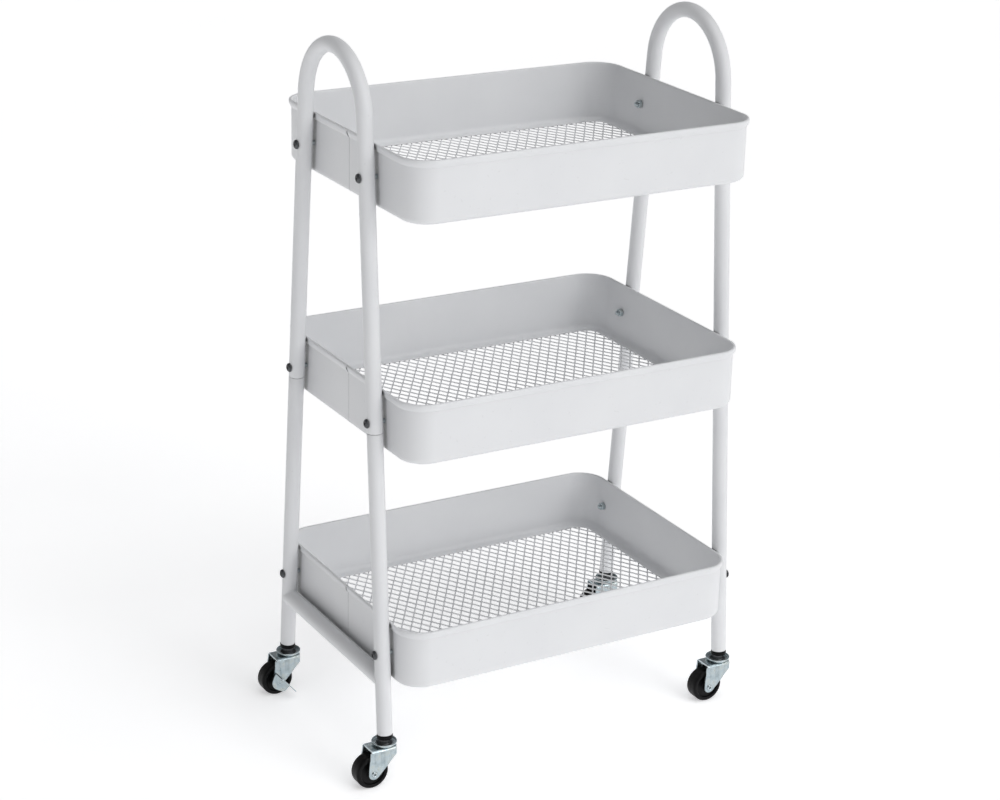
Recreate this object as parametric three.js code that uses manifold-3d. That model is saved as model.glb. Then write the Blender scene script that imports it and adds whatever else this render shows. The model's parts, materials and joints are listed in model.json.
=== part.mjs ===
// Three-tier rolling utility cart: sheet-metal trays with mesh floors, bolted between two
// bent-tube side frames, on four swivel casters. Millimetres, +Z up, +X to the right along
// the long side, +Y to the rear.
import * as THREE from "three";
import { mergeVertices } from "three/addons/utils/BufferGeometryUtils.js";
import Module from "manifold-3d";

const wasm = await Module();
wasm.setup();

// ---------------------------------------------------------------- driving dimensions
const GAP = 0.3; // between any two separate pieces that touch
const EXTRA = 2; // how far a cutter runs past the face it leaves by

const TRAY_LENGTH = 388; // over the rolled rim, along X
const TRAY_WIDTH = 288; // over the rolled rim, along Y
const TRAY_CORNER = 30; // rim corner radius
const TRAY_HEIGHT = 63;
const SHEET = 1;
const RIM_DEPTH = 8; // height of the rolled rim
const RIM_REACH = 2.5; // how far the rim stands out from the wall
const BEND = 6; // bend radius between wall and floor flange
const FLANGE = 12; // floor flange, inwards from the wall's outer face
const RIM_HEIGHTS = { top: 650, middle: 411, bottom: 172 };
const SEAM_Y = -10; // butt seam of the wall strip, in the left end wall
const SEAM_WIDTH = 0.5;
const SEAM_NOTCH = 3; // gap between the two ends of the rolled rim's underside

const MESH_THICKNESS = 1.2;
const MESH_PITCH_X = 58.75; // every fifth strand of the real 11.75
const MESH_PITCH_Y = 89.5; // every fifth strand of the real 17.9
const MESH_STRAND = 2.4;
const MESH_UNDERLAP = 5; // how far the mesh reaches under the flange

const TUBE = 8; // outer radius of the frame tube
const TUBE_WALL = 1.2;
const LEG_Y_AT_RIM = 65; // leg centreline from the middle, at the top tray's rim
const LEG_SLOPE = 0.082; // outward run per unit of drop
const HANDLE_TOP = 88.5; // top of the handle above the top rim
const JOINT_BELOW_MIDDLE_RIM = 42; // seam between upper and lower leg
const NECK_LENGTH = 24;
const NECK = 6.2; // outer radius of the swaged neck inside the upper leg
const LEG_END = 55; // height of the leg's lower end
const CROSS_TUBE = 8.5; // outer radius of the tube below the bottom tray
const CROSS_BELOW_RIM = 59.5; // its centre below the bottom tray's rim

const SCREW = 2.4; // shank radius
const SCREW_HEAD = 4.7;
const SCREW_HEAD_HEIGHT = 2.6;
const SCREW_BELOW_RIM = 31.5;
const SCREW_TIP = 3; // shank showing past the nut
const NUT_FLATS = 8;
const NUT_HEIGHT = 4;

const WHEEL = 17.5; // radius
const WHEEL_HALF_WIDTH = 7.5;
const AXLE = 2;
const TRAIL = 16; // axle behind the swivel axis, towards -X
const FORK_INNER = 9.2; // half width between the fork's sides
const FORK_OUTER = 11;
const FORK_TOP = 43;
const FORK_SHEET = 1.8;
const FORK_TAIL = -18.5; // the top plate's square end, above the wheel
const FORK_NOSE = 9; // the side plates' upper front corner
const RACE = 9; // radius of the raised ball race on the fork
const CUP = 13; // radius of the raceway cup
const CUP_BOTTOM = 44.1;
const CUP_DEPTH = 3;
const COLLAR_BOTTOM = 50.5;
const COLLAR = 8.2; // radius of the plug's collar below the tube
const PLUG = 6.2;
const PLUG_LENGTH = 28;
const STEM = 3.5;
const KINGPIN = 3.2;
const BRAKE_SHEET = 1.2;
const PEDAL_REACH = 15; // outwards from the fork's side
const BRAKE_SLOPE = THREE.MathUtils.degToRad(49); // fall of the brake pedal towards +X

const ROUND = 16; // facets round a tube
const ROUND_SMALL = 10; // facets round a small turned piece
const ROUND_HOLE = 8; // facets round a screw hole
const LEG_X = TRAY_LENGTH / 2 + GAP + TUBE;
const LEG_TILT = Math.atan(LEG_SLOPE);
const legY = (z) => LEG_Y_AT_RIM + LEG_SLOPE * (RIM_HEIGHTS.top - z);
const JOINT_Z = RIM_HEIGHTS.middle - JOINT_BELOW_MIDDLE_RIM;
const SWIVEL_Y = legY(LEG_END + PLUG_LENGTH / 2);

// ---------------------------------------------------------------- materials
const material = (color, roughness, metalness) =>
  new THREE.MeshStandardMaterial({ color, roughness, metalness });
const WHITE = material(0xe9eaec, 0.38, 0.0);
const ZINC = material(0xb4bec4, 0.32, 0.9);
const DARK_STEEL = material(0x3c3e42, 0.42, 0.8);
const BLACK_PLASTIC = material(0x121314, 0.5, 0.0);
const BLACK_RUBBER = material(0x17181a, 0.62, 0.0);

// ---------------------------------------------------------------- solids
const cart = new THREE.Group();
cart.name = "rolling_cart";

function addPiece(name, geometry, look) {
  const mesh = new THREE.Mesh(geometry, look);
  mesh.name = name;
  cart.add(mesh);
}

// A closed geometry as a manifold solid.
function solid(geometry) {
  const plain = geometry.clone();
  plain.deleteAttribute("normal");
  plain.deleteAttribute("uv");
  const merged = mergeVertices(plain, 1e-4);
  return new wasm.Manifold(
    new wasm.Mesh({
      numProp: 3,
      vertProperties: merged.attributes.position.array,
      triVerts: new Uint32Array(merged.index.array),
    }),
  );
}

function geometryOf(manifold) {
  const mesh = manifold.getMesh();
  const geometry = new THREE.BufferGeometry();
  const positions = new THREE.BufferAttribute(mesh.vertProperties, 3);
  geometry.setAttribute("position", positions);
  geometry.setIndex(new THREE.BufferAttribute(mesh.triVerts, 1));
  return geometry;
}

const points = (pairs) => pairs.map(([a, b]) => new THREE.Vector2(a, b));

// A body of revolution about Z from [radius, height] pairs, up the outside first.
function turned(pairs, facets = ROUND) {
  return new THREE.LatheGeometry(points(pairs), facets).rotateX(Math.PI / 2);
}

const ring = (pairs) => [...pairs, pairs[0]];

// A plain round disc about Z between two heights.
function disc(radius, zLow, zHigh, facets = ROUND) {
  return turned(
    [
      [0, zLow],
      [radius, zLow],
      [radius, zHigh],
      [0, zHigh],
    ],
    facets,
  );
}

// A bar of the given outline in X and Y, standing on Z = 0. Each arc gets twice
// curveSegments facets.
function bar(shape, height, curveSegments = 5) {
  return new THREE.ExtrudeGeometry(shape, { depth: height, bevelEnabled: false, curveSegments });
}

// A flat plate whose outline is given in X and Z, between two Y positions.
function sidePlate(shape, yLow, yHigh) {
  return bar(shape, yHigh - yLow)
    .rotateX(Math.PI / 2)
    .translate(0, yHigh, 0);
}

// A rod along X that cuts a screw hole.
function rodAlongX(radius, xLow, xHigh, y, z) {
  return new THREE.CylinderGeometry(radius, radius, xHigh - xLow, ROUND_HOLE)
    .rotateZ(Math.PI / 2)
    .translate((xLow + xHigh) / 2, y, z);
}

function box(xLow, xHigh, yLow, yHigh, zLow, zHigh) {
  return new THREE.BoxGeometry(xHigh - xLow, yHigh - yLow, zHigh - zLow).translate(
    (xLow + xHigh) / 2,
    (yLow + yHigh) / 2,
    (zLow + zHigh) / 2,
  );
}

function circleShape(radius, innerRadius = 0) {
  const shape = new THREE.Shape().absarc(0, 0, radius, 0, 2 * Math.PI);
  if (innerRadius > 0) {
    shape.holes.push(new THREE.Path().absarc(0, 0, innerRadius, 0, 2 * Math.PI, true));
  }
  return shape;
}

function roundedRectangle(length, width, radius) {
  const x = length / 2 - radius;
  const y = width / 2 - radius;
  const quarter = Math.PI / 2;
  return new THREE.Shape()
    .absarc(x, y, radius, 0, quarter)
    .absarc(-x, y, radius, quarter, 2 * quarter)
    .absarc(-x, -y, radius, 2 * quarter, 3 * quarter)
    .absarc(x, -y, radius, 3 * quarter, 4 * quarter);
}

// ---------------------------------------------------------------- trays
// A profile of [offset from the outline, height] pairs carried round a rounded rectangle:
// a lathe whose columns are shared out between the four corners.
function rounded(profile, length, width, radius, perCorner) {
  const fromAxis = profile.map(([offset, height]) => [radius + offset, height]);
  const lathe = new THREE.LatheGeometry(points(ring(fromAxis)), 4 * (perCorner + 1));
  const position = lathe.attributes.position;
  const rows = profile.length + 1;
  for (let i = 0; i < position.count; i += 1) {
    const column = Math.floor(i / rows) % (4 * (perCorner + 1));
    const corner = Math.floor(column / (perCorner + 1));
    const step = column % (perCorner + 1);
    const angle = ((corner + step / perCorner) * Math.PI) / 2;
    const reach = Math.hypot(position.getX(i), position.getZ(i));
    const height = position.getY(i);
    const signX = corner === 0 || corner === 3 ? 1 : -1;
    const signY = corner < 2 ? 1 : -1;
    position.setXYZ(
      i,
      signX * (length / 2 - radius) + reach * Math.cos(angle),
      signY * (width / 2 - radius) + reach * Math.sin(angle),
      height,
    );
  }
  return lathe;
}

// Section of the tray wall: floor flange, bend, wall and rolled rim.
function trayProfile() {
  const arc = (radius, degrees) => {
    const angle = THREE.MathUtils.degToRad(degrees);
    return [-BEND + radius * Math.cos(angle), BEND + radius * Math.sin(angle)];
  };
  const outerBend = [-90, -45, 0].map((degrees) => arc(BEND, degrees));
  const innerBend = [0, -45, -90].map((degrees) => arc(BEND - SHEET, degrees));
  const rimBottom = TRAY_HEIGHT - RIM_DEPTH;
  const rim = [
    [0, rimBottom],
    [RIM_REACH, rimBottom + 1],
    [RIM_REACH, TRAY_HEIGHT - 1.5],
    [0.5 * RIM_REACH, TRAY_HEIGHT],
    [-SHEET, TRAY_HEIGHT - 0.4],
  ];
  return [[-FLANGE, 0], ...outerBend, ...rim, ...innerBend, [-FLANGE, SHEET]];
}

function addTray(level) {
  const rimZ = RIM_HEIGHTS[level];
  const floorZ = rimZ - TRAY_HEIGHT;
  const screwZ = rimZ - SCREW_BELOW_RIM;
  const wallX = TRAY_LENGTH / 2 - RIM_REACH;
  const wallLength = TRAY_LENGTH - 2 * RIM_REACH;
  const wallWidth = TRAY_WIDTH - 2 * RIM_REACH;
  const corner = TRAY_CORNER - RIM_REACH;
  let wall = solid(rounded(trayProfile(), wallLength, wallWidth, corner, 5));
  wall = wall.subtract(
    solid(
      box(
        -wallX - RIM_REACH - EXTRA,
        -wallX + FLANGE + EXTRA,
        SEAM_Y,
        SEAM_Y + SEAM_WIDTH,
        -EXTRA,
        TRAY_HEIGHT + EXTRA,
      ),
    ),
  );
  const rimBottom = TRAY_HEIGHT - RIM_DEPTH;
  wall = wall.subtract(
    solid(
      box(
        -wallX - RIM_REACH - EXTRA,
        -wallX + GAP,
        SEAM_Y - SEAM_NOTCH / 2,
        SEAM_Y + SEAM_NOTCH / 2,
        rimBottom - EXTRA,
        rimBottom + SEAM_NOTCH,
      ),
    ),
  );
  for (const side of [-1, 1]) {
    for (const end of [-1, 1]) {
      const xMiddle = side * wallX;
      const y = end * legY(screwZ);
      const z = TRAY_HEIGHT - SCREW_BELOW_RIM;
      const hole = rodAlongX(SCREW + GAP, xMiddle - EXTRA, xMiddle + EXTRA, y, z);
      wall = wall.subtract(solid(hole));
    }
  }
  addPiece(`tray_wall_${level}`, geometryOf(wall).translate(0, 0, floorZ), WHITE);
  addPiece(`tray_mesh_${level}`, meshFloor().translate(0, 0, floorZ - GAP - MESH_THICKNESS), WHITE);
}

// Diamond mesh: a plate with a staggered field of diamond openings inside a plain border.
function meshFloor() {
  const inset = RIM_REACH + FLANGE;
  const openLength = TRAY_LENGTH - 2 * inset;
  const openWidth = TRAY_WIDTH - 2 * inset;
  const openCorner = TRAY_CORNER - inset;
  const plate = roundedRectangle(
    openLength + 2 * MESH_UNDERLAP,
    openWidth + 2 * MESH_UNDERLAP,
    openCorner + MESH_UNDERLAP,
  );
  const halfX = MESH_PITCH_X / 2;
  const halfY = MESH_PITCH_Y / 2;
  const shrink = 1 - ((MESH_STRAND / 2) * Math.hypot(halfX, halfY)) / (halfX * halfY);
  const diamonds = [];
  const columns = Math.ceil(openLength / MESH_PITCH_X) + 1;
  const rows = Math.ceil(openWidth / MESH_PITCH_Y) + 1;
  for (let column = -columns; column <= columns; column += 1) {
    for (let row = -rows; row <= rows; row += 1) {
      if ((column + row) % 2 !== 0) continue;
      const x = column * halfX;
      const y = row * halfY;
      const corners = [
        [x + halfX * shrink, y],
        [x, y + halfY * shrink],
        [x - halfX * shrink, y],
        [x, y - halfY * shrink],
      ];
      diamonds.push(new THREE.Shape(points(corners)));
    }
  }
  const cutters = bar(diamonds, MESH_THICKNESS + 2 * EXTRA).translate(0, 0, -EXTRA);
  const opening = roundedRectangle(openLength, openWidth, openCorner);
  const frame = bar(opening, MESH_THICKNESS + 4 * EXTRA, 2).translate(0, 0, -2 * EXTRA);
  const cut = solid(cutters).intersect(solid(frame));
  return geometryOf(solid(bar(plate, MESH_THICKNESS, 2)).subtract(cut));
}

// ---------------------------------------------------------------- frame tubes
// A path that visits its stations in turn, so a straight run needs no extra rings.
class StationPath extends THREE.Curve {
  constructor(stations) {
    super();
    this.stations = stations;
  }

  getPointAt(u) {
    return this.stations[Math.round(u * (this.stations.length - 1))].clone();
  }

  getTangentAt(u) {
    const last = this.stations.length - 1;
    const index = Math.round(u * last);
    const before = this.stations[Math.max(index - 1, 0)];
    const after = this.stations[Math.min(index + 1, last)];
    const here = this.stations[index];
    const arriving = here.clone().sub(before).normalize();
    const leaving = after.clone().sub(here).normalize();
    return arriving.add(leaving).normalize();
  }
}

function tubeAlong(stations, radius, wall) {
  return new THREE.ExtrudeGeometry(circleShape(radius, radius - wall), {
    steps: stations.length - 1,
    extrudePath: new StationPath(stations),
    curveSegments: ROUND / 2,
    bevelEnabled: false,
  });
}

// Centreline of the inverted U: up one leg, round the handle, down the other.
function upperFrameStations(x) {
  const cosTilt = Math.cos(LEG_TILT);
  const crown = HANDLE_TOP - TUBE;
  const centre = (crown - LEG_Y_AT_RIM * cosTilt) / (1 - LEG_SLOPE * cosTilt);
  const radius = crown - centre;
  const steps = 14;
  const stations = [new THREE.Vector3(x, legY(JOINT_Z), JOINT_Z)];
  for (let i = 0; i <= steps; i += 1) {
    const angle = LEG_TILT + ((Math.PI - 2 * LEG_TILT) * i) / steps;
    const y = radius * Math.cos(angle);
    const z = RIM_HEIGHTS.top + centre + radius * Math.sin(angle);
    stations.push(new THREE.Vector3(x, y, z));
  }
  stations.push(new THREE.Vector3(x, -legY(JOINT_Z), JOINT_Z));
  return stations;
}

function screwHole(x, y, z) {
  return solid(rodAlongX(SCREW + GAP, x - 2 * TUBE, x + 2 * TUBE, y, z));
}

function addUpperFrame(sideName, side) {
  const x = side * LEG_X;
  let frame = solid(tubeAlong(upperFrameStations(x), TUBE, TUBE_WALL));
  for (const level of ["top", "middle"]) {
    const z = RIM_HEIGHTS[level] - SCREW_BELOW_RIM;
    for (const end of [-1, 1]) {
      frame = frame.subtract(screwHole(x, end * legY(z), z));
    }
  }
  addPiece(`upper_frame_${sideName}`, geometryOf(frame), WHITE);
}

// Lower leg: plain tube with a narrower neck that plugs into the upper leg.
function addLowerLeg(name, side, end) {
  const length = (JOINT_Z - LEG_END) / Math.cos(LEG_TILT) - GAP;
  const bore = TUBE - TUBE_WALL;
  const neckBore = NECK - TUBE_WALL;
  const profile = ring([
    [bore, 0],
    [TUBE, 0],
    [TUBE, length],
    [NECK, length],
    [NECK, length + NECK_LENGTH],
    [neckBore, length + NECK_LENGTH],
    [neckBore, length - 3 * TUBE_WALL],
    [bore, length - 5 * TUBE_WALL],
  ]);
  const x = side * LEG_X;
  const standing = turned(profile).rotateX(end * LEG_TILT).translate(x, end * legY(LEG_END), LEG_END);
  let leg = solid(standing);
  for (const level of ["middle", "bottom"]) {
    const z = RIM_HEIGHTS[level] - SCREW_BELOW_RIM;
    leg = leg.subtract(screwHole(x, end * legY(z), z));
  }
  addPiece(`lower_leg_${name}`, geometryOf(leg), WHITE);
}

// Cross tube: its ends are saddled round the legs it is welded to.
function addCrossTube(sideName, side) {
  const x = side * LEG_X;
  const z = RIM_HEIGHTS.bottom - CROSS_BELOW_RIM;
  const reach = legY(z);
  const stations = [new THREE.Vector3(x, -reach, z), new THREE.Vector3(x, reach, z)];
  let tube = solid(tubeAlong(stations, CROSS_TUBE, TUBE_WALL));
  for (const end of [-1, 1]) {
    const run = 3 * CROSS_TUBE;
    const saddle = new THREE.CylinderGeometry(TUBE + GAP, TUBE + GAP, 2 * run, 2 * ROUND)
      .rotateX(Math.PI / 2 + end * LEG_TILT)
      .translate(x, end * reach, z);
    tube = tube.subtract(solid(saddle));
    const beyond = box(x - run, x + run, reach, reach + run, z - run, z + run);
    tube = tube.subtract(solid(end > 0 ? beyond : beyond.rotateZ(Math.PI).translate(2 * x, 0, 0)));
  }
  const parts = tube.decompose();
  parts.sort((a, b) => b.volume() - a.volume());
  addPiece(`cross_tube_${sideName}`, geometryOf(parts[0]), WHITE);
}

// ---------------------------------------------------------------- fasteners
function turnToSide(geometry, side) {
  return geometry.rotateY((-side * Math.PI) / 2);
}

// Pan-head screw through the leg and the tray's end wall, and the nut inside the tray.
function addFastener(name, side, y, z) {
  const seat = LEG_X + TUBE + GAP;
  const wallInside = TRAY_LENGTH / 2 - RIM_REACH - SHEET;
  const nutFar = wallInside - GAP - NUT_HEIGHT;
  const length = seat - nutFar + SCREW_TIP;
  const profile = [
    [0, -SCREW_HEAD_HEIGHT],
    [0.55 * SCREW_HEAD, -0.92 * SCREW_HEAD_HEIGHT],
    [0.9 * SCREW_HEAD, -0.5 * SCREW_HEAD_HEIGHT],
    [SCREW_HEAD, 0],
    [SCREW, 0],
    [SCREW, length - 0.8],
    [SCREW - 0.8, length],
    [0, length],
  ];
  const screw = turned(profile, ROUND_SMALL);
  addPiece(`screw_${name}`, turnToSide(screw, side).translate(side * seat, y, z), DARK_STEEL);

  const corner = NUT_FLATS / 2 / Math.cos(Math.PI / 6);
  const hexagon = [0, 1, 2, 3, 4, 5].map((i) => {
    const angle = (i * Math.PI) / 3;
    return [corner * Math.cos(angle), corner * Math.sin(angle)];
  });
  const outline = new THREE.Shape(points(hexagon));
  outline.holes.push(new THREE.Path().absarc(0, 0, SCREW + GAP, 0, 2 * Math.PI, true));
  const nut = turnToSide(bar(outline, NUT_HEIGHT), side);
  addPiece(`nut_${name}`, nut.translate(side * (wallInside - GAP), y, z), ZINC);
}

// ---------------------------------------------------------------- casters
// Plastic plug in the leg: its body follows the leaning leg, its bore is upright.
function addPlug(name, x, end) {
  const tilted = turned([
    [0, -2 * TUBE],
    [COLLAR, -2 * TUBE],
    [COLLAR, -GAP],
    [PLUG, -GAP],
    [PLUG, PLUG_LENGTH - 1],
    [PLUG - 1, PLUG_LENGTH],
    [0, PLUG_LENGTH],
  ]);
  const body = solid(tilted.rotateX(end * LEG_TILT).translate(x, end * legY(LEG_END), LEG_END));
  const y = end * SWIVEL_Y;
  const run = 3 * COLLAR;
  const below = box(x - run, x + run, y - run, y + run, COLLAR_BOTTOM - run, COLLAR_BOTTOM);
  const bore = disc(STEM + GAP, 0, LEG_END + 2 * PLUG_LENGTH, ROUND_SMALL);
  const plug = body.subtract(solid(below)).subtract(solid(bore.translate(x, y, 0)));
  addPiece(`plug_${name}`, geometryOf(plug), BLACK_PLASTIC);
}

// Stem with the raceway cup and the peened kingpin end below the fork's plate.
function addStem(name, x, y) {
  const pinHead = 5;
  const headTop = FORK_TOP - FORK_SHEET - GAP;
  const top = LEG_END + PLUG_LENGTH - 4;
  const profile = [
    [0, headTop - 2],
    [0.85 * pinHead, headTop - 2],
    [pinHead, headTop - 1.2],
    [pinHead, headTop],
    [KINGPIN, headTop],
    [KINGPIN, CUP_BOTTOM],
    [0.8 * CUP, CUP_BOTTOM],
    [CUP, CUP_BOTTOM + 1.2],
    [CUP, CUP_BOTTOM + CUP_DEPTH],
    [CUP - 1.2, CUP_BOTTOM + CUP_DEPTH],
    [CUP - 1.8, CUP_BOTTOM + 0.6 * CUP_DEPTH],
    [0.55 * CUP, CUP_BOTTOM + 0.5 * CUP_DEPTH],
    [0.52 * CUP, COLLAR_BOTTOM - GAP],
    [STEM, COLLAR_BOTTOM - GAP],
    [STEM, top - 1],
    [STEM - 1, top],
    [0, top],
  ];
  addPiece(`stem_${name}`, turned(profile).translate(x, y, 0), ZINC);
}

// Bent-sheet fork: round-nosed top plate, lower ball race and two tapering sides.
function addFork(name, x, y) {
  const plate = new THREE.Shape()
    .absarc(0, 0, FORK_OUTER, -Math.PI / 2, Math.PI / 2)
    .lineTo(FORK_TAIL, FORK_OUTER)
    .lineTo(FORK_TAIL, -FORK_OUTER);
  let fork = solid(bar(plate, FORK_SHEET).translate(0, 0, FORK_TOP - FORK_SHEET));
  fork = fork.add(solid(disc(RACE, FORK_TOP - FORK_SHEET, CUP_BOTTOM - GAP)));
  const side = forkSide();
  fork = fork.add(solid(sidePlate(side, FORK_INNER, FORK_OUTER)));
  fork = fork.add(solid(sidePlate(side, -FORK_OUTER, -FORK_INNER)));
  fork = fork.subtract(solid(disc(KINGPIN + GAP, 0, LEG_END)));
  addPiece(`fork_${name}`, geometryOf(fork).translate(x, y, 0), ZINC);
}

// Outline of a fork's side: round foot at the axle, leaning front edge, upright nose.
function forkSide() {
  const foot = 6;
  const frontEdge = points([
    [5, 28],
    [FORK_NOSE, 37.5],
    [FORK_NOSE, FORK_TOP],
    [FORK_TAIL, FORK_TOP],
  ]);
  const side = new THREE.Shape().absarc(-TRAIL, WHEEL, foot, Math.PI, 1.75 * Math.PI);
  frontEdge.forEach((corner) => side.lineTo(corner.x, corner.y));
  side.holes.push(new THREE.Path().absarc(-TRAIL, WHEEL, AXLE + GAP, 0, 2 * Math.PI, true));
  return side;
}

function addWheel(name, x, y) {
  const bore = AXLE + 2 * GAP;
  const hub = 6.2; // radius
  const hubSide = 6; // half its length
  const web = 5; // half thickness between hub and tyre
  const facets = 20;
  const half = [
    [bore, hubSide],
    [hub, hubSide],
    [hub, web],
    [0.72 * WHEEL, web],
    [0.78 * WHEEL, WHEEL_HALF_WIDTH],
    [WHEEL - 1.4, WHEEL_HALF_WIDTH],
    [WHEEL, WHEEL_HALF_WIDTH - 1.8],
  ];
  const mirrored = half.map(([radius, side]) => [radius, -side]);
  const profile = ring([...mirrored, ...half.toReversed()]);
  const wheel = new THREE.LatheGeometry(points(profile), facets).translate(x - TRAIL, y, WHEEL);
  addPiece(`wheel_${name}`, wheel, BLACK_RUBBER);
}

// Riveted axle. On a braked caster its near head holds the brake lever too.
function addAxle(name, x, y, braked) {
  const head = 3.1;
  const headHeight = 1.4;
  const far = FORK_OUTER + GAP;
  const near = far + (braked ? BRAKE_SHEET + GAP : 0);
  const profile = [
    [0, -near - headHeight],
    [0.6 * head, -near - headHeight],
    [head, -near - 0.4 * headHeight],
    [head, -near],
    [AXLE, -near],
    [AXLE, far],
    [head, far],
    [head, far + 0.4 * headHeight],
    [0.6 * head, far + headHeight],
    [0, far + headHeight],
  ];
  const axle = new THREE.LatheGeometry(points(profile), ROUND_SMALL);
  axle.translate(x - TRAIL, y, WHEEL);
  addPiece(`axle_${name}`, axle, ZINC);
}

// Brake lever: a plate on the axle with its upper edge bent out into a foot pedal. It is
// drawn level and then tilted about the axle.
function addBrakeLever(name, x, y) {
  const round = 9;
  const edge = 4.5; // the bend's height above the axle
  const heel = -11;
  const arm = 13;
  const toe = 17;
  const outline = new THREE.Shape()
    .absarc(0, 0, round, 1.15 * Math.PI, 1.6 * Math.PI)
    .lineTo(arm, -5)
    .lineTo(arm, edge)
    .lineTo(heel, edge);
  outline.holes.push(new THREE.Path().absarc(0, 0, AXLE + GAP, 0, 2 * Math.PI, true));
  const inner = -FORK_OUTER - GAP;
  const plate = solid(sidePlate(outline, inner - BRAKE_SHEET, inner));
  const pedal = box(heel, toe, inner - PEDAL_REACH, inner, edge - BRAKE_SHEET, edge);
  const lever = geometryOf(plate.add(solid(pedal)))
    .rotateY(BRAKE_SLOPE)
    .translate(x - TRAIL, y, WHEEL);
  addPiece(`brake_lever_${name}`, lever, ZINC);
}

function addCaster(name, side, end) {
  const x = side * LEG_X;
  const y = end * SWIVEL_Y;
  const braked = end > 0;
  addPlug(name, x, end);
  addStem(name, x, y);
  addFork(name, x, y);
  addWheel(name, x, y);
  addAxle(name, x, y, braked);
  if (braked) addBrakeLever(name, x, y);
}

// ---------------------------------------------------------------- assembly
const SIDES = [
  ["left", -1],
  ["right", 1],
];
const ENDS = [
  ["front", -1],
  ["rear", 1],
];

for (const level of Object.keys(RIM_HEIGHTS)) {
  addTray(level);
}
for (const [sideName, side] of SIDES) {
  addUpperFrame(sideName, side);
  addCrossTube(sideName, side);
  for (const [endName, end] of ENDS) {
    const name = `${endName}_${sideName}`;
    addLowerLeg(name, side, end);
    addCaster(name, side, end);
    for (const [level, rimZ] of Object.entries(RIM_HEIGHTS)) {
      const z = rimZ - SCREW_BELOW_RIM;
      addFastener(`${level}_${name}`, side, end * legY(z), z);
    }
  }
}

// The trailing casters reach further to the left than anything does to the right, so the
// cart moves over until the origin is under the middle of its outline.
const reachLeft = LEG_X + TRAIL + WHEEL;
const reachRight = LEG_X + CUP;
cart.position.x = (reachLeft - reachRight) / 2;

export default cart;
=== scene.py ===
"""Looks of the three-tier rolling utility cart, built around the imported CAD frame.

Shapes are worked out in millimetres, in the CAD frame, and turned into metres as each mesh is made.
+X runs to the right along the long side, +Y to the rear and +Z up.
"""

import json
import math

import bmesh
import bpy
from mathutils import Matrix, Vector

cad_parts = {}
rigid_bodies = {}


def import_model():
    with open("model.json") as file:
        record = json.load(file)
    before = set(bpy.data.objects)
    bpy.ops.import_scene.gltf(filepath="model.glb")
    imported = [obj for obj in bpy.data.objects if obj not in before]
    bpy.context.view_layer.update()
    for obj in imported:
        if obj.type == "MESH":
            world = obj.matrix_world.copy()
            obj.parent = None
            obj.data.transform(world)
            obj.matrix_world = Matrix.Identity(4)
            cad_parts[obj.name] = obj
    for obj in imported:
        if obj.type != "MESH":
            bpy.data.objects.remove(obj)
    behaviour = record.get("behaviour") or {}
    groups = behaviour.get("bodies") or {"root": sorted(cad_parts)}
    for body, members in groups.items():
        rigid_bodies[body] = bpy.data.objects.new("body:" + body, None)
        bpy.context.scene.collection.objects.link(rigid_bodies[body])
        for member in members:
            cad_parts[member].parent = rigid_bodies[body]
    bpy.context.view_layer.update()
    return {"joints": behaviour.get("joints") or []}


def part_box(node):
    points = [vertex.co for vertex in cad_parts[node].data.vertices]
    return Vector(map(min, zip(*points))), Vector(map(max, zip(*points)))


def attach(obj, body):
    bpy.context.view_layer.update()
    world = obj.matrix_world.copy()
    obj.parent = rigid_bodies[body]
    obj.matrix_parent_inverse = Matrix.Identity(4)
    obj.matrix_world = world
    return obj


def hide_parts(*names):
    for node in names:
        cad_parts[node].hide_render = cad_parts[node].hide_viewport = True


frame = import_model()

MM = 0.001  # one millimetre in metres
LEVELS = ("top", "middle", "bottom")
SIDES = (("left", -1), ("right", 1))
ENDS = (("front", -1), ("rear", 1))
JOINT_AT = {joint["name"]: Vector(joint["pos_m"]) / MM for joint in frame["joints"]}


def box_mm(node):
    """Lowest and highest corner of a CAD node, in millimetres."""
    low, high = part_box(node)
    return Vector(low) / MM, Vector(high) / MM


# ---------------------------------------------------------------- sizes read from the frame
TRAY_LOW, TRAY_HIGH = box_mm("tray_wall_top")
CENTRE_X = (TRAY_LOW.x + TRAY_HIGH.x) / 2
TRAY_LENGTH = TRAY_HIGH.x - TRAY_LOW.x
TRAY_WIDTH = TRAY_HIGH.y - TRAY_LOW.y
TRAY_HEIGHT = TRAY_HIGH.z - TRAY_LOW.z
RIM_Z = {level: box_mm(f"tray_wall_{level}")[1].z for level in LEVELS}

FRAME_LOW, FRAME_HIGH = box_mm("upper_frame_right")
TUBE = (FRAME_HIGH.x - FRAME_LOW.x) / 2
LEG_REACH = (FRAME_HIGH.x + FRAME_LOW.x) / 2 - CENTRE_X
HANDLE_TOP = FRAME_HIGH.z

# ---------------------------------------------------------------- sizes of the looks
GAP = 0.3  # left between separate pieces in the frame
SHEET = 1.0  # a tray wall's thickness
TRAY_CORNER = 30.0
RIM_DEPTH = 8.0
RIM_REACH = 2.5  # how far the rolled rim stands out from the wall
BEND = 6.0
FLANGE = 12.0  # how far the wall turns in under the tray
SEAM_Y = -10.0
SEAM_WIDTH = 0.5
SEAM_NOTCH = 3.0  # cut out of the rim's lower edge at the seam

MESH_PITCH_X = 11.75
MESH_PITCH_Y = 17.9
MESH_STRAND = 1.45
MESH_THICKNESS = 0.6
MESH_TILT = 0.3  # how far a strand's edges rise and fall
MESH_UNDERLAP = 3.0  # how far the floor reaches under the flange

LEG_Y_AT_RIM = 65.0
LEG_SLOPE = 0.082
LEG_TILT = math.atan(LEG_SLOPE)
JOINT_BELOW_MIDDLE_RIM = 42.0
LEG_END = 55.0
CROSS_TUBE = 8.5
CROSS_BELOW_RIM = 59.5
WELD = 2.6  # the fillet's leg
TUBE_FACETS = 48

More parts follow.
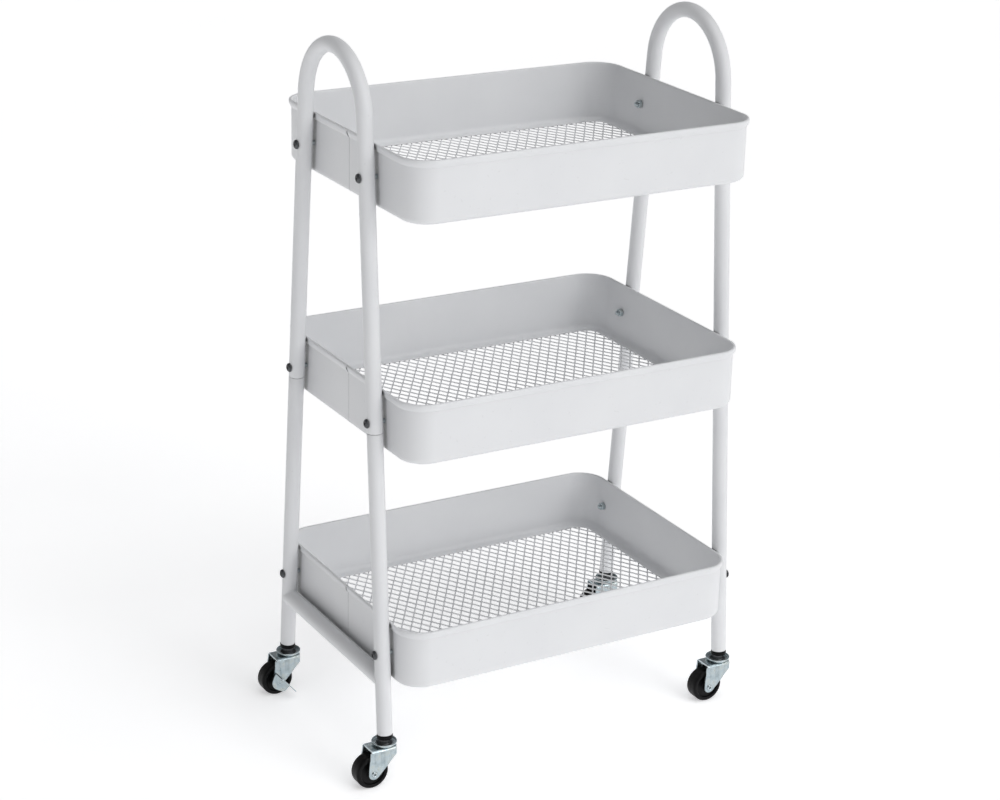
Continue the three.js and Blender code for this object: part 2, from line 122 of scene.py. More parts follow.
SCREW = 2.4
SCREW_HEAD = 4.7
SCREW_HEAD_HEIGHT = 2.6
SCREW_BELOW_RIM = 31.5
SCREW_TIP = 3.0
THREAD_PITCH = 0.8
THREAD_DEPTH = 0.45
NUT_FLATS = 8.0
NUT_HEIGHT = 4.0

WHEEL = 17.5
WHEEL_HALF_WIDTH = 7.5
TRAIL = 16.0  # how far the wheel's axle stands behind the swivel axis
FORK_OUTER = 11.0
FORK_TOP = 43.0
FORK_SHEET = 1.8
FORK_TAIL = -18.5
FORK_FOOT = 6.0  # radius of the fork's round ends at the axle
FORK_FRONT = 9.0
CUP = 13.0
CUP_BOTTOM = 44.1
COLLAR_BOTTOM = 50.5
COLLAR = 8.2
AXLE_HEAD = 3.1
BRAKE_SHEET = 1.2
PEDAL_REACH = 15.0
BRAKE_SLOPE = math.radians(49)

JOINT_Z = RIM_Z["middle"] - JOINT_BELOW_MIDDLE_RIM


def leg_y(z):
    """Distance of a leg's centreline from the middle, at height z."""
    return LEG_Y_AT_RIM + LEG_SLOPE * (RIM_Z["top"] - z)


# ---------------------------------------------------------------- camera
# Angles turn it round the vertical, raise it above the horizon and roll it. The picture is
# shifted a little, as a view camera's is, which keeps the legs nearly upright.
CAMERA_AZIMUTH = math.radians(-30.723)
CAMERA_ELEVATION = math.radians(20.041)
CAMERA_ROLL = math.radians(1.603)
CAMERA_TARGET = Vector((-0.0161, -0.0569, 0.400))
CAMERA_DISTANCE = 2.429
CAMERA_LENS = 87.05
CAMERA_SHIFT = (-0.0173, -0.035)


def make_camera():
    azimuth, elevation = CAMERA_AZIMUTH, CAMERA_ELEVATION
    back = Vector(
        (
            math.sin(azimuth) * math.cos(elevation),
            -math.cos(azimuth) * math.cos(elevation),
            math.sin(elevation),
        )
    )
    right = Vector((math.cos(azimuth), math.sin(azimuth), 0))
    up = back.cross(right)
    rolled_right = math.cos(CAMERA_ROLL) * right + math.sin(CAMERA_ROLL) * up
    rolled_up = math.cos(CAMERA_ROLL) * up - math.sin(CAMERA_ROLL) * right
    turn = Matrix((rolled_right, rolled_up, back)).transposed().to_4x4()
    data = bpy.data.cameras.new("camera")
    data.sensor_width = 36
    data.lens = CAMERA_LENS
    data.shift_x, data.shift_y = CAMERA_SHIFT
    camera = bpy.data.objects.new("camera", data)
    camera.matrix_world = Matrix.Translation(CAMERA_TARGET + CAMERA_DISTANCE * back) @ turn
    bpy.context.scene.collection.objects.link(camera)
    bpy.context.scene.camera = camera


# ---------------------------------------------------------------- material nodes
def feed(tree, socket, value):
    """Links an input to another node's socket, or sets it to a value."""
    if isinstance(value, bpy.types.NodeSocket):
        tree.links.new(value, socket)
    else:
        socket.default_value = value


def add_node(tree, kind, inputs=None, **settings):
    """A node with its settings, and its inputs set to a value or linked to a socket."""
    node = tree.nodes.new(kind)
    for name, value in settings.items():
        setattr(node, name, value)
    for name, value in (inputs or {}).items():
        feed(tree, node.inputs[name], value)
    return node


def noise(tree, place, scale, detail=2.0, roughness=0.5):
    """Noise from 0 to 1 whose features are about 1/scale metres across."""
    inputs = {"Vector": place, "Scale": scale, "Detail": detail, "Roughness": roughness}
    return add_node(tree, "ShaderNodeTexNoise", inputs).outputs[0]


def spread(tree, value, low, high, from_low=0.3, from_high=0.7):
    """The value, stretched to run from low to high."""
    inputs = {
        "Value": value,
        "From Min": from_low,
        "From Max": from_high,
        "To Min": low,
        "To Max": high,
    }
    return add_node(tree, "ShaderNodeMapRange", inputs).outputs[0]


def ramp(tree, value, *stops):
    """A colour ramp of (position, (red, green, blue)) stops."""
    node = add_node(tree, "ShaderNodeValToRGB", {"Fac": value})
    elements = node.color_ramp.elements
    while len(elements) < len(stops):
        elements.new(0.5)
    for element, (position, colour) in zip(elements, stops):
        element.position = position
        element.color = (*colour, 1)
    return node.outputs[0]


def math_node(tree, operation, *values):
    node = tree.nodes.new("ShaderNodeMath")
    node.operation = operation
    for socket, value in zip(node.inputs, values):
        feed(tree, socket, value)
    return node.outputs[0]


def mix_colour(tree, factor, first, second):
    """Blends two colours, each a socket or a (red, green, blue)."""
    node = tree.nodes.new("ShaderNodeMix")
    node.data_type = "RGBA"
    a, b = [socket for socket in node.inputs if socket.type == "RGBA"]
    tree.links.new(factor, node.inputs[0])
    for socket, value in ((a, first), (b, second)):
        feed(tree, socket, (*value, 1) if isinstance(value, tuple) else value)
    return next(socket for socket in node.outputs if socket.type == "RGBA")


def bumps(tree, *layers):
    """Bump layers of (height socket, depth in millimetres), one on top of the other."""
    normal = None
    for height, depth in layers:
        inputs = {"Height": height, "Distance": depth * MM, "Strength": 1.0}
        if normal is not None:
            inputs["Normal"] = normal
        normal = add_node(tree, "ShaderNodeBump", inputs).outputs[0]
    return normal


def new_material(name):
    """A material's tree, its shader and the object coordinates, in metres."""
    material = bpy.data.materials.new(name)
    material.use_nodes = True
    tree = material.node_tree
    place = add_node(tree, "ShaderNodeTexCoord").outputs["Object"]
    return material, tree, tree.nodes["Principled BSDF"], place


def curvature(tree):
    """About 0.5 on a flat surface, more on ridges and less in hollows."""
    return add_node(tree, "ShaderNodeNewGeometry").outputs["Pointiness"]


def stretched(tree, place, scale):
    """Coordinates stretched along the axes, for streaks."""
    return add_node(tree, "ShaderNodeMapping", {"Vector": place, "Scale": scale}).outputs[0]


def link(tree, shader, **sockets):
    """Links a shader's inputs, named with _ for each space."""
    for name, value in sockets.items():
        tree.links.new(value, shader.inputs[name.replace("_", " ")])


def powder_coat():
    """Satin white powder coat: fine orange peel over slightly wavy sheet, thinner on edges, with
    painted shade where two pieces nearly touch."""
    material, tree, shader, place = new_material("white_powder_coat")
    narrow_gap = 5.5 * MM
    drift = noise(tree, place, 14, detail=3)
    grain = noise(tree, place, 1100, detail=2)
    tone = ramp(tree, drift, (0.3, (0.725, 0.732, 0.748)), (0.7, (0.755, 0.762, 0.774)))
    thin = spread(tree, curvature(tree), 0, 0.35, from_low=0.53, from_high=0.62)
    worn = mix_colour(tree, thin, tone, (0.65, 0.655, 0.66))
    specks = noise(tree, place, 420, detail=0)
    speck = spread(tree, specks, 0, 0.16, from_low=0.80, from_high=0.84)
    specked = mix_colour(tree, speck, worn, (0.5, 0.5, 0.5))
    # Painted shade: the colour goes dark grey where another surface is close by, as in narrow gaps.
    openness = add_node(tree, "ShaderNodeAmbientOcclusion", {"Distance": narrow_gap}, samples=6)
    painted_gap_shade = spread(tree, openness.outputs["AO"], 0.9, 0, from_low=0.28, from_high=0.60)
    colour = mix_colour(tree, painted_gap_shade, specked, (0.10, 0.10, 0.10))
    smears = noise(tree, place, 30, detail=4, roughness=0.6)
    link(
        tree,
        shader,
        Base_Color=colour,
        Roughness=spread(tree, smears, 0.34, 0.46),
        Normal=bumps(
            tree,
            (noise(tree, place, 16, detail=1), 0.5),
            (noise(tree, place, 420, detail=1), 0.012),
            (grain, 0.006),
        ),
    )
    shader.inputs["IOR"].default_value = 1.48
    return material


def zinc_plate():
    """Bright zinc plating: bluish, mottled, with faint tumbling scratches, painted shade in its hollows
    and a painted highlight on its ridges."""
    material, tree, shader, place = new_material("zinc_plate")
    clouds = noise(tree, place, 160, detail=4, roughness=0.6)
    tone = ramp(
        tree,
        clouds,
        (0.28, (0.33, 0.40, 0.43)),
        (0.5, (0.45, 0.52, 0.55)),
        (0.72, (0.50, 0.53, 0.50)),
    )
    stain = spread(tree, noise(tree, place, 700, detail=3), 0, 0.5, from_low=0.58, from_high=0.75)
    stained = mix_colour(tree, stain, tone, (0.26, 0.29, 0.30))
    curve = curvature(tree)
    # Painted shade: the colour goes dark in hollows, found from the surface's curvature.
    painted_hollow_shade = spread(tree, curve, 0.85, 0, from_low=0.44, from_high=0.495)
    with_hollow_shade = mix_colour(tree, painted_hollow_shade, stained, (0.10, 0.115, 0.12))
    # Painted highlight: the colour goes pale on ridges, found from the surface's curvature.
    lighter_edges = spread(tree, curve, 0, 0.35, from_low=0.52, from_high=0.58)
    colour = mix_colour(tree, lighter_edges, with_hollow_shade, (0.74, 0.78, 0.79))
    scratches = noise(tree, stretched(tree, place, (1, 1, 0.12)), 2400, detail=2)
    link(
        tree,
        shader,
        Base_Color=colour,
        Roughness=spread(tree, clouds, 0.14, 0.30),
        Normal=bumps(tree, (clouds, 0.04), (scratches, 0.006)),
    )
    shader.inputs["Metallic"].default_value = 0.92
    return material


def dark_steel():
    """Blackened steel of the screws, rubbed lighter on its edges."""
    material, tree, shader, place = new_material("dark_steel")
    grain = noise(tree, place, 900, detail=3)
    tone = ramp(tree, grain, (0.3, (0.05, 0.052, 0.056)), (0.7, (0.11, 0.115, 0.12)))
    lighter_edges = spread(tree, curvature(tree), 0, 0.6, from_low=0.53, from_high=0.65)
    link(
        tree,
        shader,
        Base_Color=mix_colour(tree, lighter_edges, tone, (0.32, 0.33, 0.34)),
        Roughness=spread(tree, grain, 0.28, 0.44),
        Normal=bumps(tree, (grain, 0.01)),
    )
    shader.inputs["Metallic"].default_value = 0.85
    return material


def black_plastic():
    """Moulded black plastic with a fine spark-eroded grain."""
    material, tree, shader, place = new_material("black_plastic")
    grain = noise(tree, place, 1800, detail=3)
    smears = noise(tree, place, 90, detail=3)
    link(
        tree,
        shader,
        Base_Color=ramp(tree, smears, (0.3, (0.002, 0.002, 0.0025)), (0.7, (0.005, 0.005, 0.006))),
        Roughness=spread(tree, smears, 0.3, 0.45),
        Normal=bumps(tree, (grain, 0.02)),
    )
    shader.inputs["Specular IOR Level"].default_value = 0.1
    return material


def wheel_rubber():
    """Hard black rubber. The tread is dull and dusty, the faces smoother and darker."""
    material, tree, shader, place = new_material("black_rubber")
    apart = add_node(tree, "ShaderNodeSeparateXYZ", {"Vector": place})
    across = math_node(tree, "MULTIPLY", apart.outputs["X"], apart.outputs["X"])
    upward = math_node(tree, "MULTIPLY", apart.outputs["Z"], apart.outputs["Z"])
    radius = math_node(tree, "SQRT", math_node(tree, "ADD", across, upward))
    face_ends = (WHEEL - 1.2) * MM
    tread_starts = (WHEEL - 0.3) * MM
    tread = spread(tree, radius, 0, 1, from_low=face_ends, from_high=tread_starts)
    dust = spread(tree, noise(tree, place, 260, detail=4), 0.15, 0.8)
    dusty = math_node(tree, "MULTIPLY", tread, dust)
    face = ramp(
        tree,
        noise(tree, place, 300, detail=3),
        (0.3, (0.0015, 0.0015, 0.0018)),
        (0.7, (0.003, 0.003, 0.0035)),
    )
    link(
        tree,
        shader,
        Base_Color=mix_colour(tree, dusty, face, (0.006, 0.006, 0.0058)),
        Roughness=spread(tree, dusty, 0.34, 0.5, from_low=0, from_high=1),
        Normal=bumps(tree, (noise(tree, place, 1500, detail=3), 0.02)),
    )
    shader.inputs["Specular IOR Level"].default_value = 0.14
    return material


# ---------------------------------------------------------------- mesh building
SHARP_DEGREES = 34  # an edge that turns more than this is shaded as a crease


def skin(bm, rows, wrap_rows=False, wrap_points=False, caps=False):
    """Covers a grid of points, given row by row, with quads."""
    made = [[bm.verts.new(point) for point in row] for row in rows]
    row_pairs = list(zip(made, made[1:]))
    if wrap_rows:
        row_pairs.append((made[-1], made[0]))
    count = len(made[0])
    for one, other in row_pairs:
        for i in range(count if wrap_points else count - 1):
            j = (i + 1) % count
            bm.faces.new((one[i], one[j], other[j], other[i]))
    if caps:
        bm.faces.new(made[0][::-1])
        bm.faces.new(made[-1])


def to_mesh(bm, name, sharp_degrees=SHARP_DEGREES):
    """Closes off a bmesh in millimetres as a smooth-shaded mesh in metres."""
    bmesh.ops.remove_doubles(bm, verts=bm.verts, dist=0.002)
    bmesh.ops.recalc_face_normals(bm, faces=bm.faces)
    bmesh.ops.scale(bm, vec=(MM, MM, MM), verts=bm.verts)
    mesh = bpy.data.meshes.new(name)
    bm.to_mesh(mesh)
    bm.free()
    mesh.shade_smooth()
    mesh.set_sharp_from_angle(angle=math.radians(sharp_degrees))
    return mesh


def place_piece(name, mesh, material_slot, body, nodes, at=(0, 0, 0), turn=None):
    """Puts a mesh in the scene as a piece that stands for CAD nodes and rides on a body."""
    if not mesh.materials:
        mesh.materials.append(MATERIALS[material_slot])
    piece = bpy.data.objects.new(name, mesh)
    piece.matrix_world = Matrix.Translation(Vector(at) * MM) @ (turn or Matrix()).to_4x4()
    bpy.context.scene.collection.objects.link(piece)
    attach(piece, body)
    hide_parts(*nodes)
    return piece


def soften(piece, width):
    """Rounds a piece's hard edges by a small bevel."""
    bevel = piece.modifiers.new("edges", "BEVEL")
    bevel.width = width * MM
    bevel.segments = 2
    bevel.limit_method = "ANGLE"
    bevel.angle_limit = math.radians(50)


def thicken(piece, thickness):
    """Gives a sheet its thickness, behind its face."""
    solidify = piece.modifiers.new("sheet", "SOLIDIFY")
    solidify.thickness = thickness * MM
    solidify.offset = -1
    solidify.use_even_offset = True


def arc(centre, radius, from_degrees, to_degrees, steps):
    """Points on an arc, both ends included."""
    points = []
    for i in range(steps + 1):
        turn = math.radians(from_degrees + (to_degrees - from_degrees) * i / steps)
        points.append((centre[0] + radius * math.cos(turn), centre[1] + radius * math.sin(turn)))
    return points


def circle_turns(count):
    """Angles of evenly spaced points round a circle, in radians."""
    return [2 * math.pi * i / count for i in range(count)]


def ring(radius, height, facets):
    """Points of a circle round the Z axis."""
    turns = circle_turns(facets)
    return [Vector((radius * math.cos(turn), radius * math.sin(turn), height)) for turn in turns]


def turned(bm, profile, facets, axis="Z", closed=False):
    """A body of revolution round the Z or Y axis from (radius, height along the axis) pairs.
    A closed one is hollow, and its profile runs back to its start."""
    rows = [ring(radius, height, facets) for radius, height in profile]
    if axis == "Y":
        rows = [[Vector((point.x, point.z, -point.y)) for point in row] for row in rows]
    skin(bm, rows, wrap_rows=closed, wrap_points=True)


# ---------------------------------------------------------------- trays
def tray_route():
    """Stations round the wall's outer face, from one side of the seam to the other: the point
    and the direction outwards."""
    x = TRAY_LENGTH / 2 - RIM_REACH
    y = TRAY_WIDTH / 2 - RIM_REACH
    radius = TRAY_CORNER - RIM_REACH
    straight_steps = 16
    corner_steps = 18
    edge = SEAM_WIDTH / 2
    notch = SEAM_NOTCH / 2
    notch_side = notch + 0.05
    middle = SEAM_Y + edge
    start = [middle - edge, middle - notch, middle - notch_side]
    route = [(Vector((-x, y_here)), Vector((-1, 0))) for y_here in start]

    def straight(begin, end, outward):
        for i in range(1, straight_steps):
            route.append((begin.lerp(end, i / straight_steps), outward))

    corners = [(-1, -1, 180), (1, -1, 270), (1, 1, 0), (-1, 1, 90)]
    for sign_x, sign_y, first in corners:
        centre = Vector((sign_x * (x - radius), sign_y * (y - radius)))
        turns = [first + 90 * i / corner_steps for i in range(corner_steps + 1)]
        stations = []
        for turn in turns:
            outward = Vector((math.cos(math.radians(turn)), math.sin(math.radians(turn))))
            stations.append((centre + radius * outward, outward))
        straight(route[-1][0], stations[0][0], stations[0][1])
        route.extend(stations)
    finish = [middle + notch_side, middle + notch, middle + edge]
    straight(route[-1][0], Vector((-x, finish[0])), Vector((-1, 0)))
    route.extend((Vector((-x, y_here)), Vector((-1, 0))) for y_here in finish)
    return route


def tray_section(hem_cut):
    """Section of the wall as (offset outwards, height) pairs: flange, bend, wall, rolled rim.
    hem_cut lifts the lower edge of the rim beside the seam."""
    height = TRAY_HEIGHT
    low = height - RIM_DEPTH + hem_cut
    roll = RIM_REACH / 2 + SHEET / 2
    inner = BEND - SHEET
    broken = 0.15  # taken off the flange's sharp edges
    outside = [(-FLANGE, broken), (-FLANGE + broken, 0)]
    outside += arc((-BEND, BEND), BEND, -90, 0, 8)
    hem = [
        (0, low + 0.2),
        (0.4, low + 0.3),
        (0.95, low + 1.0),
        (1.7, low + 2.3),
        (RIM_REACH - 0.2, low + 3.7),
        (RIM_REACH, low + 5.0),
    ]
    top = arc((RIM_REACH - roll, height - roll), roll, 0, 180, 10)
    inside = arc((-BEND, BEND), inner, 0, -90, 8)
    inside += [(-FLANGE + broken, SHEET), (-FLANGE, SHEET - broken)]
    return outside + hem + top + inside


def tray_wall_mesh():
    bm = bmesh.new()
    rows = []
    route = tray_route()
    for number, (point, outward) in enumerate(route):
        beside_seam = number < 2 or number >= len(route) - 2
        section = tray_section(SEAM_NOTCH if beside_seam else 0)
        rows.append([(*(point + offset * outward), height) for offset, height in section])
    skin(bm, rows, wrap_points=True, caps=True)
    return to_mesh(bm, "tray_wall")


def rounded_rectangle(length, width, radius, steps):
    """Outline round the middle, anticlockwise from the right side's rear end."""
    outline = []
    for sign_x, sign_y, first in [(1, 1, 0), (-1, 1, 90), (-1, -1, 180), (1, -1, 270)]:
        centre = (sign_x * (length / 2 - radius), sign_y * (width / 2 - radius))
        outline.extend(arc(centre, radius, first, first + 90, steps))
    return outline


def diamond_cell(bm, x, y):
    """One cell of expanded metal: half a strand's width round one opening. The strands lean,
    so that the opening's left side stands higher than its right."""
    half_x, half_y = MESH_PITCH_X / 2, MESH_PITCH_Y / 2
    shrink = 1 - (MESH_STRAND / 2) * math.hypot(half_x, half_y) / (half_x * half_y)
    rounding = 0.1  # share of each side that is given to a corner of the opening
    roundness = 0.6
    crossing = 0.3  # share of the cell's half width over which high turns into low
    outer = [Vector((half_x, 0)), Vector((0, half_y)), Vector((-half_x, 0)), Vector((0, -half_y))]
    inner = [shrink * corner for corner in outer]

    def raised(point, level):
        lean = -MESH_TILT * max(-1, min(1, point.x / (crossing * half_x)))
        return Vector((x + point.x, y + point.y, lean + level * MESH_THICKNESS / 2))

    openings = []
    for i, corner in enumerate(inner):
        before = corner.lerp(inner[i - 1], rounding)
        after = corner.lerp(inner[(i + 1) % 4], rounding)
        middle = corner.lerp((before + after) / 2, roundness)
        openings.append((before, middle, after))
    walls = {}
    for level in (1, -1):
        edge = [bm.verts.new((x + c.x, y + c.y, level * MESH_THICKNESS / 2)) for c in outer]
        rim = [[bm.verts.new(raised(p, level)) for p in three] for three in openings]
        walls[level] = [vert for three in rim for vert in three]
        for i in range(4):
            j = (i + 1) % 4
            faces = [
                (edge[i], edge[j], rim[j][0], rim[i][2]),
                (edge[i], rim[i][1], rim[i][0]),
                (edge[i], rim[i][2], rim[i][1]),
            ]
            for face in faces:
                bm.faces.new(face if level > 0 else face[::-1])
    upper, lower = walls[1], walls[-1]
    for i in range(len(upper)):
        j = (i + 1) % len(upper)
        bm.faces.new((upper[j], upper[i], lower[i], lower[j]))


def mesh_floor_mesh():
    """Expanded-metal floor, cut to the plate's outline."""
    inset = RIM_REACH + FLANGE - MESH_UNDERLAP
    length = TRAY_LENGTH - 2 * inset
    width = TRAY_WIDTH - 2 * inset
    bm = bmesh.new()
    columns = math.ceil(length / MESH_PITCH_X) + 1
    rows = math.ceil(width / MESH_PITCH_Y) + 1
    for column in range(-columns, columns + 1):
        for row in range(-rows, rows + 1):
            if (column + row) % 2 == 0:
                diamond_cell(bm, column * MESH_PITCH_X / 2, row * MESH_PITCH_Y / 2)
    bmesh.ops.remove_doubles(bm, verts=bm.verts, dist=0.01)
    outline = rounded_rectangle(length, width, TRAY_CORNER - inset, 3)
    for i, start in enumerate(outline):
        end = outline[(i + 1) % len(outline)]
        outward = Vector((end[1] - start[1], start[0] - end[0], 0))
        if outward.length < 0.01:
            continue
        bmesh.ops.bisect_plane(
            bm,
            geom=[*bm.verts, *bm.edges, *bm.faces],
            dist=0.0001,
            plane_co=(*start, 0),
            plane_no=outward.normalized(),
            clear_outer=True,
        )
    cut_edges = [edge for edge in bm.edges if edge.is_boundary]
    bmesh.ops.holes_fill(bm, edges=cut_edges, sides=0)
    return to_mesh(bm, "tray_mesh", sharp_degrees=40)


def add_trays():
    wall = tray_wall_mesh()
    floor = mesh_floor_mesh()
    coat = "white_powder_coat"
    drop = MESH_THICKNESS / 2 + MESH_TILT
    for level in LEVELS:
        low = RIM_Z[level] - TRAY_HEIGHT
        wall_at = (CENTRE_X, 0, low)
        floor_at = (CENTRE_X, 0, low - drop)
        place_piece(f"{level}_tray_wall", wall, coat, "cart", [f"tray_wall_{level}"], wall_at)
        place_piece(f"{level}_tray_floor", floor, coat, "cart", [f"tray_mesh_{level}"], floor_at)


# ---------------------------------------------------------------- frame tubes
def tube_rows(stations, radii):
    """Rings round a route in the YZ plane."""
    rows = []
    for i, (here, radius) in enumerate(zip(stations, radii)):
        before = stations[max(i - 1, 0)]
        after = stations[min(i + 1, len(stations) - 1)]
        along = (after - before).normalized()
        sideways = Vector((1, 0, 0))
        across = along.cross(sideways)
        row = []
        for turn in circle_turns(TUBE_FACETS):
            row.append(here + radius * (math.cos(turn) * sideways + math.sin(turn) * across))
        rows.append(row)
    return rows


def with_rounded_ends(stations, radius, rounding):
    """Stations and radii of a tube whose two end edges are slightly rounded."""
    first = (stations[1] - stations[0]).normalized()
    last = (stations[-1] - stations[-2]).normalized()
    steps = [(0, 0.75), (0.3, 0.25), (1, 0)]  # along the tube, and off its radius
    start = [(stations[0] + run * rounding * first, radius - cut * rounding) for run, cut in steps]
    end = [(stations[-1] - run * rounding * last, radius - cut * rounding) for run, cut in steps]
    middle = [(station, radius) for station in stations[1:-1]]
    return zip(*(start + middle + end[::-1]))


def upper_frame_route(x):
    """Centreline of the inverted U: up the front leg, round the handle, down the rear one."""
    crown = HANDLE_TOP - TUBE - RIM_Z["top"]
    cos_tilt = math.cos(LEG_TILT)
    centre = (crown - LEG_Y_AT_RIM * cos_tilt) / (1 - LEG_SLOPE * cos_tilt)
    radius = crown - centre
    bend_steps = 56
    leg_steps = 12
    foot = Vector((x, -leg_y(JOINT_Z), JOINT_Z))
    bend = []
    for i in range(bend_steps + 1):
        turn = math.pi - LEG_TILT - (math.pi - 2 * LEG_TILT) * i / bend_steps
        y = radius * math.cos(turn)
        z = RIM_Z["top"] + centre + radius * math.sin(turn)
        bend.append(Vector((x, y, z)))
    up = [foot.lerp(bend[0], i / leg_steps) for i in range(leg_steps)]
    down = [Vector((x, -station.y, station.z)) for station in reversed(up)]
    return up + bend + down


TUBE_END_ROUNDING = 0.5


def add_upper_frames():
    for side_name, side in SIDES:
        route = upper_frame_route(CENTRE_X + side * LEG_REACH)
        stations, radii = with_rounded_ends(route, TUBE, TUBE_END_ROUNDING)
        bm = bmesh.new()
        skin(bm, tube_rows(stations, radii), wrap_points=True, caps=True)
        mesh = to_mesh(bm, "handle_frame")
        nodes = [f"upper_frame_{side_name}"]
        place_piece(f"handle_frame_{side_name}", mesh, "white_powder_coat", "cart", nodes)


def add_lower_leg(name, x, end):
    """A leg's lower tube, with a short neck that fills the gap below the upper one."""
    steps = 20
    neck_reach = 4
    neck_radius = TUBE - 1.4
    top = Vector((x, end * leg_y(JOINT_Z), JOINT_Z))
    foot = Vector((x, end * leg_y(LEG_END), LEG_END))
    top -= GAP * (top - foot).normalized()
    route = [foot.lerp(top, i / steps) for i in range(steps + 1)]
    stations, radii = with_rounded_ends(route, TUBE, TUBE_END_ROUNDING)
    bm = bmesh.new()
    skin(bm, tube_rows(stations, radii), wrap_points=True, caps=True)
    upward = (top - foot).normalized()
    neck = [top - neck_reach * upward, top + neck_reach * upward]
    skin(bm, tube_rows(neck, [neck_radius, neck_radius]), wrap_points=True, caps=True)
    mesh = to_mesh(bm, "leg")
    place_piece(f"leg_{name}", mesh, "white_powder_coat", "cart", [f"lower_leg_{name}"])


def weld_row(x, z, end, opened):
    """One ring of a cross tube where it meets a leg. opened runs from 0, where the weld's
    fillet starts, to 1, just below the leg's surface."""
    sunk = 0.2
    inside_leg = 0.1
    row = []
    for turn in circle_turns(TUBE_FACETS):
        upward = math.sin(turn) ** 2
        grown = WELD * (1 - math.cos(opened * math.pi / 2)) * upward
        narrowed = (CROSS_TUBE - TUBE + inside_leg) * opened * (1 - upward)
        radius = CROSS_TUBE + grown - narrowed
        across = radius * math.cos(turn)
        height = z + radius * math.sin(turn)
        surface = math.sqrt(max(TUBE**2 - across**2, 0)) - sunk
        short = WELD * (1 - math.sin(opened * math.pi / 2))
        row.append(Vector((x + across, end * (leg_y(height) - surface - short), height)))
    return row


def add_cross_tube(side_name, x):
    z = RIM_Z["bottom"] - CROSS_BELOW_RIM
    weld_steps = 6
    plain_steps = 24
    front = [weld_row(x, z, -1, 1 - i / weld_steps) for i in range(weld_steps + 1)]
    rear = [weld_row(x, z, 1, i / weld_steps) for i in range(weld_steps + 1)]
    between = []
    for i in range(1, plain_steps):
        share = i / plain_steps
        between.append([a.lerp(b, share) for a, b in zip(front[-1], rear[0])])
    bm = bmesh.new()
    skin(bm, front + between + rear, wrap_points=True, caps=True)
    mesh = to_mesh(bm, "cross_bar")
    nodes = [f"cross_tube_{side_name}"]
    place_piece(f"cross_bar_{side_name}", mesh, "white_powder_coat", "cart", nodes)


def add_frame():
    add_upper_frames()
    for side_name, side in SIDES:
        x = CENTRE_X + side * LEG_REACH
        add_cross_tube(side_name, x)
        for end_name, end in ENDS:
            add_lower_leg(f"{end_name}_{side_name}", x, end)


# ---------------------------------------------------------------- fasteners
def cross_recess(bm, top):
    """A tapering cross-shaped cutter that sinks into a head whose top is at this height."""
    long, wide, deep = 2.7, 0.75, 1.7  # half its length, half its width, and its depth
    widest, narrowest = 1.15, 0.55
    for turned_by in (0, math.pi / 2):
        spin = Matrix.Rotation(turned_by, 3, "Z")
        rows = []
        for height, share in ((top + 1, widest), (top - deep, narrowest)):
            corners = [(long, wide), (-long, wide), (-long, -wide), (long, -wide)]
            rows.append([spin @ Vector((share * a, share * b, height)) for a, b in corners])
        skin(bm, rows, wrap_points=True, caps=True)


def cut_mesh(body, cutter):
    """The body's mesh with the cutter's shape taken out."""
    scene = bpy.context.scene.collection.objects
    keep = bpy.data.objects.new("cut_body", body)
    knife = bpy.data.objects.new("cut_knife", cutter)
    scene.link(keep)
    scene.link(knife)
    modifier = keep.modifiers.new("cut", "BOOLEAN")
    modifier.operation = "DIFFERENCE"
    modifier.solver = "EXACT"
    modifier.use_self = True
    modifier.object = knife
    evaluated = keep.evaluated_get(bpy.context.evaluated_depsgraph_get())
    result = bpy.data.meshes.new_from_object(evaluated)
    bpy.data.objects.remove(keep)
    bpy.data.objects.remove(knife)
    result.shade_smooth()
    result.set_sharp_from_angle(angle=math.radians(SHARP_DEGREES))
    return result


def thread_rows(radius, depth, low, high):
    """Rows of a screw thread along Z, as a ridge that climbs one pitch a turn."""
    facets = 24
    steps_per_turn = 6
    rows = []
    count = math.ceil((high - low) / THREAD_PITCH * steps_per_turn)
    for i in range(count + 1):
        height = low + (high - low) * i / count
        row = []
        for k, turn in enumerate(circle_turns(facets)):
            phase = (height / THREAD_PITCH - k / facets) % 1
            here = radius - depth * abs(2 * phase - 1)
            row.append(Vector((here * math.cos(turn), here * math.sin(turn), height)))
        rows.append(row)
    return rows


